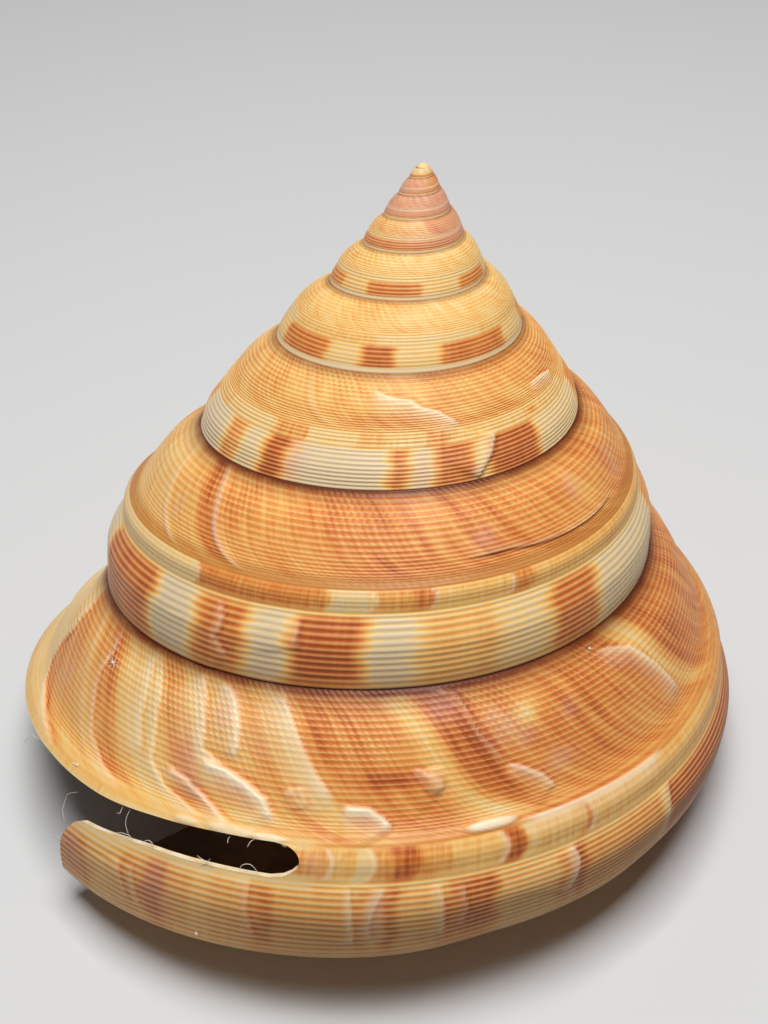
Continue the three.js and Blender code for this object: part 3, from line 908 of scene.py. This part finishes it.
# Brown for the lower part of the last wall: partly its own browner colour, partly painted shade.
LAST_WALL_PAINTED_SHADE = rgb(84, 48, 24)
LINT_GREY = rgb(214, 208, 198)
OCHRE = rgb(160, 104, 46)
RIM_WHITE = rgb(242, 226, 196)
# Brown along the seams between whorls: partly the shell's own colour, partly painted shade under each
# overhang.
SEAM_BROWN_AND_SHADE = rgb(104, 46, 18)
# The lining's colours are far darker than pale nacre: painted shade inside the mouth.
PAINTED_SHADE_PEARL = rgb(120, 92, 66)
PAINTED_SHADE_PEARL_PINK = rgb(96, 66, 44)
LIP_CREAM = rgb(228, 196, 140)
FLOOR_PALE = rgb(205, 205, 205)


def new_material(name):
    """A material, the start of its shader expressions, and its main shader."""
    material = bpy.data.materials.new(name)
    material.use_nodes = True
    return material, Shade(material.node_tree), material.node_tree.nodes["Principled BSDF"]


def feed(bsdf, name, value):
    """Gives the main shader a value or colour, or one that varies."""
    if isinstance(value, Shade):
        value.tree.links.new(value.socket, bsdf.inputs[name])
    else:
        bsdf.inputs[name].default_value = value


# The growth riblets' gap in millimetres and depth, and lengths of the coil over which the finish changes.
RIBLET_GAP = 0.97
BUMP_DEPTH = 0.14 * MM
FINISH_TURNS = np.array((BIG_TURNS, (9.02, 9.08), (8.45, 8.55)))
BIG_LENGTHS, LIP_LENGTHS, LAST_LENGTHS = growth_length(FINISH_TURNS, BAND_TOP).tolist()

# Parts of the whorl, as the places between which they fade in and out.
SHOULDER_FADE = (3.3, 4.2)
RIBLET_FADE = (0.6, 2.2)
CHANNEL_SPAN = (2.6, 3.3, 3.9, 4.1)
BAND_SPAN = (4.0, 4.3, 5.7, 6.0)
WALL_FADE = (6.0, 6.3)
# Where the painted shade on the lower part of the last wall comes in and goes out.
PAINTED_SHADE_SPAN = (6.0, 7.4, 9.0, 11.0)
# The darkening along the seams: partly the shell's brown, partly painted shade under the whorl above.
UPPER_SEAM_SHADE = (-0.2, 0.75)
UPPER_SEAM_SHADE_CORE = (0, 0.3)
LOWER_SEAM_SHADE = (7.3, 8.05)
LOWER_SEAM_SHADE_CORE = (7.85, 8.05)
LOWER_SEAM_SHADE_END = (8.0, 8.2)


def shell_outside():
    material, shade, bsdf = new_material("shell_outside")
    laid, place = shade.painted("growth"), shade.painted("place")
    cord, tone = shade.painted("cord"), shade.painted("tone")
    spot, rim = shade.painted("blush"), shade.painted("rim")
    grown, last, lip = laid.rise(*BIG_LENGTHS), laid.rise(*LAST_LENGTHS), laid.rise(*LIP_LENGTHS)
    shoulder, band, wall = 1 - place.rise(*SHOULDER_FADE), place.between(*BAND_SPAN), place.rise(*WALL_FADE)
    last_wall = last * wall

    streak = (laid * 0.62).joined(place * 0.5).noise(1, 3, 0.6)
    broad = (laid * 0.11).joined(place * 0.35).noise(1, 2, 0.5)
    lines = (laid * 1.9).joined(place * 0.2).noise(1, 2, 0.6)
    blotch = shade.points().noise(160, 3, 0.6)
    speck = shade.points().noise(900, 2, 0.6)
    riblets = (laid * (2 * math.pi / RIBLET_GAP) + (blotch - 0.5) * 5).wave() * 0.5 + 0.5
    ribbed = shoulder * (1 - place.rise(*RIBLET_FADE) * 0.8) * broad.rise(0.3, 0.65)

    tone = tone + (streak - 0.5) * (0.2 + shoulder * 0.42) + (broad - 0.5) * (0.1 + shoulder * 0.18)
    tone = tone + (blotch - 0.5) * 0.16 + (speck - 0.5) * 0.1 + (lines - 0.5) * (0.12 + band * 0.5)
    # Crests paler and grooves deeper: partly the cords' own colour, partly painted highlight on crests and
    # painted shade in grooves.
    tone = tone + (0.4 - cord) * (0.21 + wall * 0.09 + last_wall * 0.08) + (0.5 - riblets) * ribbed * 0.12
    colour = tone.held().ramp(PIGMENT)
    # The crests mixed towards cream: partly their own colour, partly a painted highlight.
    colour = shade.blend(colour, CORD_CREAM_AND_HIGHLIGHT, cord.rise(0.4, 1) * (0.2 + last_wall * 0.12))
    channel = place.between(*CHANNEL_SPAN) * grown * (1 - lip)
    colour = shade.blend(colour, OCHRE, channel * (0.62 - last * 0.5))
    colour = shade.blend(colour, MAUVE, (spot * (0.2 + blotch * 0.4 + cord * 0.35)).held())
    colour = shade.blend(colour, RIM_WHITE, (rim * (0.45 + blotch * 0.8)).held())
    # Along the seams: partly the shell's own brown, partly painted shade under the overhang of the whorl
    # above.
    upper = (1 - place.rise(*UPPER_SEAM_SHADE)) + (1 - place.rise(*UPPER_SEAM_SHADE_CORE)) * grown * 0.5
    lower = place.rise(*LOWER_SEAM_SHADE_CORE) + place.rise(*LOWER_SEAM_SHADE) * grown * 0.5
    seam_shade = upper + lower * (1 - place.rise(*LOWER_SEAM_SHADE_END)) * (1 - last)
    colour = shade.blend(colour, SEAM_BROWN_AND_SHADE, (seam_shade * (0.5 + blotch * 0.5)).held())
    # The last wall turns browner towards its foot, less so by the lip: partly its own colour, partly painted
    # shade.
    colour = shade.blend(colour, LAST_WALL_PAINTED_SHADE, place.between(*PAINTED_SHADE_SPAN) * last * (0.5 - lip * 0.28))
    feed(bsdf, "Base Color", colour)

    height = riblets * (0.35 + cord) * (0.08 + ribbed * 0.9) + speck * 0.25
    feed(bsdf, "Normal", shade.node("Bump", None, Strength=0.6, Distance=BUMP_DEPTH, Height=height))
    feed(bsdf, "Roughness", 0.34 + speck * 0.16)
    feed(bsdf, "Specular IOR Level", 0.26)
    return material


def pearl_lining():
    material, shade, bsdf = new_material("pearl_lining")
    cloud = shade.points().noise(60, 3, 0.55)
    # The lining is coloured dark brown: painted shade for the dark inside of the mouth.
    feed(bsdf, "Base Color", shade.blend(PAINTED_SHADE_PEARL, PAINTED_SHADE_PEARL_PINK, cloud.rise(0.4, 0.7)))
    feed(bsdf, "Roughness", 0.2 + cloud * 0.2)
    feed(bsdf, "Coat Weight", 0.3)
    return material


def lip_edge():
    material, shade, bsdf = new_material("lip_edge")
    grain = shade.points().noise(500, 3, 0.6)
    feed(bsdf, "Base Color", shade.blend(LIP_CREAM, RIM_WHITE, grain.rise(0.3, 0.7)))
    feed(bsdf, "Roughness", 0.4 + grain * 0.2)
    return material


def plain_finish(name, colour, roughness):
    material, _, bsdf = new_material(name)
    feed(bsdf, "Base Color", colour)
    feed(bsdf, "Roughness", roughness)
    return material


OUTSIDE = shell_outside()
LINING = pearl_lining()
LIP = lip_edge()
LINT = plain_finish("lint", LINT_GREY, 0.8)


def first_shell(bm):
    """The smooth little dome that the coil starts from."""
    values = (FIRST_TURN, BAND_MIDDLE, 0, FIRST_SHELL_TONE, 0, 0)
    painted = [bm.verts.layers.float[name] for name in ATTRIBUTES]
    dome = bmesh.ops.create_uvsphere(bm, u_segments=32, v_segments=16, radius=1)["verts"]
    points = np.array([vert.co for vert in dome]) * FIRST_SHELL_SIZE + FIRST_SHELL_MIDDLE
    for vert, point in zip(dome, place_in_scene(points)):
        vert.co = point
        for layer, value in zip(painted, values):
            vert[layer] = value


def add_whorls(bm, turns, counts, per_cord):
    """Whole whorls, from seam to seam."""
    columns = tucked(cord_columns(counts, 0, SEAM_PLACE, per_cord))
    add_patch(bm, *np.meshgrid(turns, columns, indexing="ij"))


def spire_tip():
    """The dome at the apex and the small whorls under it."""
    bm = bmesh.new()
    turns = spread((FIRST_TURN, 4, 420), (4, TIP_END, 620))
    add_whorls(bm, turns, TIP_COUNTS, per_cord=3.4)
    first_shell(bm)
    finish_piece("spire_tip", bm, [OUTSIDE])


def middle_whorls():
    """The two big whorls above the last one."""
    bm = bmesh.new()
    early = ((TIP_END, 6.78, 60), (6.78, 7.26, 160), (7.26, 7.74, 110))
    turns = spread(*early, (7.74, 8.26, 240), (8.26, LAST_START, 60))
    add_whorls(bm, turns, MIDDLE_COUNTS, per_cord=4.2)
    finish_piece("middle_whorls", bm, [OUTSIDE])


def shoulder():
    """The last whorl's upper side, down to the band and past the slit to the upper lip."""
    bm = bmesh.new()
    columns = tucked(cord_columns(LAST_COUNTS, 0, BAND_TOP, per_cord=4))
    turns = spread((LAST_START, 8.82, 80), (8.82, 9.12, 240))
    turn, place = out_to_lip(turns, columns, UPPER_LIP_PLACES, UPPER_LIP_TURNS, 110)
    place = place + (slit_edge(SLIT_UPPER, turn) - BAND_TOP) * step(3.3, BAND_TOP, place)
    add_patch(bm, turn, place)
    finish_piece("shoulder", bm, [OUTSIDE, LINING, LIP], WALL)


def band_and_wall():
    """The band that ends in the slit, and the wall under it out to the lower lip."""
    bm = bmesh.new()
    turns = spread((LAST_START, 8.82, 80), (8.82, SLIT_SQUARE, 210))
    columns = cord_columns(LAST_COUNTS, BAND_TOP, BAND_FOOT, per_cord=4)
    turn, place = np.meshgrid(turns, columns, indexing="ij")
    across = np.clip(1 - (place - BAND_MIDDLE) ** 2, 0, 1)
    turn = turn - (SLIT_SQUARE - SLIT_END) * np.sqrt(across) * step(9.0, SLIT_SQUARE, turn)
    add_patch(bm, turn, place)
    columns = cord_columns(LAST_COUNTS, BAND_FOOT, SEAM_PLACE, per_cord=4)
    turn, place = out_to_lip(turns, columns, LOWER_LIP_PLACES, LOWER_LIP_TURNS, 90)
    place = place + (slit_edge(SLIT_LOWER, turn) - BAND_FOOT) * (1 - step(BAND_FOOT, 7.4, place))
    add_patch(bm, turn, place)
    finish_piece("band_and_wall", bm, [OUTSIDE, LINING, LIP], WALL)


def base():
    """The underside, from the foot of the wall to the navel, set back where the last whorl covers it."""
    bm = bmesh.new()
    turns = spread((BASE_START, LOWER_LIP_TURNS[-1], 300))
    columns = cord_columns(LAST_COUNTS, SEAM_PLACE, NAVEL_PLACE, per_cord=3)
    columns[-1] -= NAVEL_GAP
    turn, place = np.meshgrid(turns, columns, indexing="ij")
    inside = 1 - step(*SETBACK_TURNS, turn)
    place = place + BASE_SETBACK * inside * (NAVEL_PLACE - place) / (NAVEL_PLACE - SEAM_PLACE)
    add_patch(bm, turn, place)
    finish_piece("base", bm, [OUTSIDE, LINING, LIP], WALL)


def pillar():
    """The stem in the middle of the base, seen through the mouth."""
    bm = bmesh.new()
    profile = [bm.verts.new((radius, 0, height)) for radius, height in PILLAR_PROFILE]
    edges = [bm.edges.new(pair) for pair in zip(profile, profile[1:])]
    about = {"cent": (0, 0, 0), "axis": (0, 0, 1), "angle": 2 * math.pi}
    bmesh.ops.spin(bm, geom=profile + edges, steps=PILLAR_STEPS, use_merge=True, **about)
    bmesh.ops.remove_doubles(bm, verts=bm.verts, dist=1e-4)
    bmesh.ops.recalc_face_normals(bm, faces=bm.faces)
    for vert in bm.verts:
        vert.co = place_in_scene(np.array(vert.co))
    finish_piece("pillar", bm, [LINING])


# Lint caught on the shell, as turns and places along each fibre, and specks of dust: turn, place and size.
FIBRES = (
    ((9.14, 6.65), (9.144, 6.4), (9.144, 6.05), (9.136, 5.25)),
    ((9.112, 5), (9.11, 4.9), (9.11, 4.5)),
    ((9.106, 4.45), (9.1065, 5.3), (9.104, 6.05)),
    ((9.112, 6.2), (9.108, 6), (9.104, 5.95), (9.102, 6.15)),
    ((9.098, 6.05), (9.094, 5.75), (9.092, 5.9), (9.0915, 6.1)),
    ((9.072, 5.65), (9.068, 5.85), (9.064, 6)),
    ((9.066, 5.6), (9.0675, 5.9), (9.07, 6.05)),
    ((9.054, 6), (9.053, 5.6), (9.05, 5.45), (9.046, 5.9)),
    ((9.06, 4.5), (9.0605, 4.3), (9.06, 4.1)),
    ((9.052, 4.5), (9.0515, 4.2), (9.05, 4)),
    ((9.15, 7.3), (9.146, 7.15), (9.138, 7.05)),
    ((9.194, 6.3), (9.19, 5.8), (9.174, 4.4)),
    ((9.185, 5), (9.18, 4.9), (9.172, 4.4)),
    ((9.162, 0.81), (9.158, 0.9), (9.154, 1)),
    ((9.154, 0.81), (9.158, 0.9), (9.162, 1)),
    ((9.158, 0.77), (9.1582, 0.9), (9.158, 1.04)),
)
SPECKS = (
    (9.158, 0.9, 0.24), (9.07, 7.9, 0.24), (9.144, 4, 0.22), (9.146, 4.05, 0.15), (9.078, 3.85, 0.14),
    (8.886, 0.3, 0.2),
)
FIBRE_RADIUS = 0.045
FIBRE_LIFT = 0.16
FIBRE_STEPS = 20
FIBRE_SIDES = 6
FIBRE_SIDEWAYS = (0.3, 0.5, 0.8)


def on_shell(turn, place, lift):
    """Points just above the outside, in millimetres about the shell's axis."""
    radius, height = section(turn, place)
    out_radius, out_height = section_normal(turn, place)
    return ring_points(turn, radius + lift * out_radius, height + lift * out_height)


def fibre_points(path):
    """Rings of points round a fibre that thins to nothing at both ends."""
    share = np.linspace(0, 1, FIBRE_STEPS + 1)
    stops = np.linspace(0, 1, len(path))
    line = on_shell(*(smooth(stops, values, share) for values in zip(*path)), FIBRE_LIFT)
    along = np.gradient(line, axis=0)
    along /= np.linalg.norm(along, axis=1)[:, None]
    side = np.cross(along, FIBRE_SIDEWAYS)
    side /= np.linalg.norm(side, axis=1)[:, None]
    angle = np.linspace(0, 2 * np.pi, FIBRE_SIDES + 1)[None, :, None]
    ring = np.cos(angle) * side[:, None] + np.sin(angle) * np.cross(along, side)[:, None]
    thick = FIBRE_RADIUS * np.sqrt(np.clip(4 * share * (1 - share), 0, 1))[:, None, None]
    return place_in_scene(line[:, None] + thick * ring)


def lint():
    """Fibres and specks that lie on the shell."""
    bm = bmesh.new()
    for path in FIBRES:
        lay_grid(bm, fibre_points(path))
    for turn, place, size in SPECKS:
        middle = place_in_scene(on_shell(np.array([turn]), np.array([place]), FIBRE_LIFT))[0]
        spot = Matrix.Translation(Vector(middle))
        bmesh.ops.create_icosphere(bm, subdivisions=2, radius=size * MM, matrix=spot)
    bmesh.ops.remove_doubles(bm, verts=bm.verts, dist=MERGE_REACH)
    bmesh.ops.recalc_face_normals(bm, faces=bm.faces)
    finish_piece("lint", bm, [LINT])


# The studio, in metres and watts: soft lights with their place, size and power.
FLOOR_HALF = 3
LIGHTS = (
    ("key", (0.03, -0.03, 0.6), 0.3, 4.2),
    ("fill", (-0.5, -0.5, 0.3), 0.5, 0.2),
    ("back", (-0.3, 0.6, 0.5), 0.5, 0.4),
)
LIGHT_AIM = (0, 0, 0.04)
WORLD_STRENGTH = 0.06
CLIP_START = 0.01


def floor():
    bm = bmesh.new()
    bmesh.ops.create_grid(bm, x_segments=1, y_segments=1, size=FLOOR_HALF)
    ground = mesh_object("floor", bm, [plain_finish("pale_floor", FLOOR_PALE, 0.9)])


def lights():
    for name, where, size, power in LIGHTS:
        data = bpy.data.lights.new(name, "AREA")
        data.size = size
        data.energy = power
        lamp = add_object(name, data)
        lamp.location = where
        lamp.rotation_euler = (Vector(LIGHT_AIM) - Vector(where)).to_track_quat("-Z", "Y").to_euler()
    world = bpy.data.worlds.new("studio")
    world.use_nodes = True
    sky = world.node_tree.nodes["Background"].inputs
    sky["Color"].default_value = (1, 1, 1, 1)
    sky["Strength"].default_value = WORLD_STRENGTH
    bpy.context.scene.world = world


def view():
    """The camera, in the shell's own leaning frame."""
    rise, roll = math.radians(VIEW_ELEVATION_DEG), math.radians(VIEW_ROLL_DEG)
    back = np.array([0, -math.cos(rise), math.sin(rise)])
    right, up = np.array([1, 0, 0]), np.array([0, math.sin(rise), math.cos(rise)])
    axes = np.stack([
        math.cos(roll) * right - math.sin(roll) * up,
        math.sin(roll) * right + math.cos(roll) * up,
        back,
    ], -1)
    data = bpy.data.cameras.new("camera")
    data.lens = VIEW_LENS
    data.clip_start = CLIP_START
    camera = add_object("camera", data)
    spot = place_in_scene(np.array(VIEW_TARGET) + VIEW_DISTANCE * back)
    turned = Matrix((LEAN @ axes).tolist()).to_4x4()
    camera.matrix_world = Matrix.Translation(Vector(spot)) @ turned
    bpy.context.scene.camera = camera


bpy.context.scene.view_settings.view_transform = "Standard"
spire_tip()
middle_whorls()
shoulder()
band_and_wall()
base()
pillar()
lint()
floor()
lights()
view()
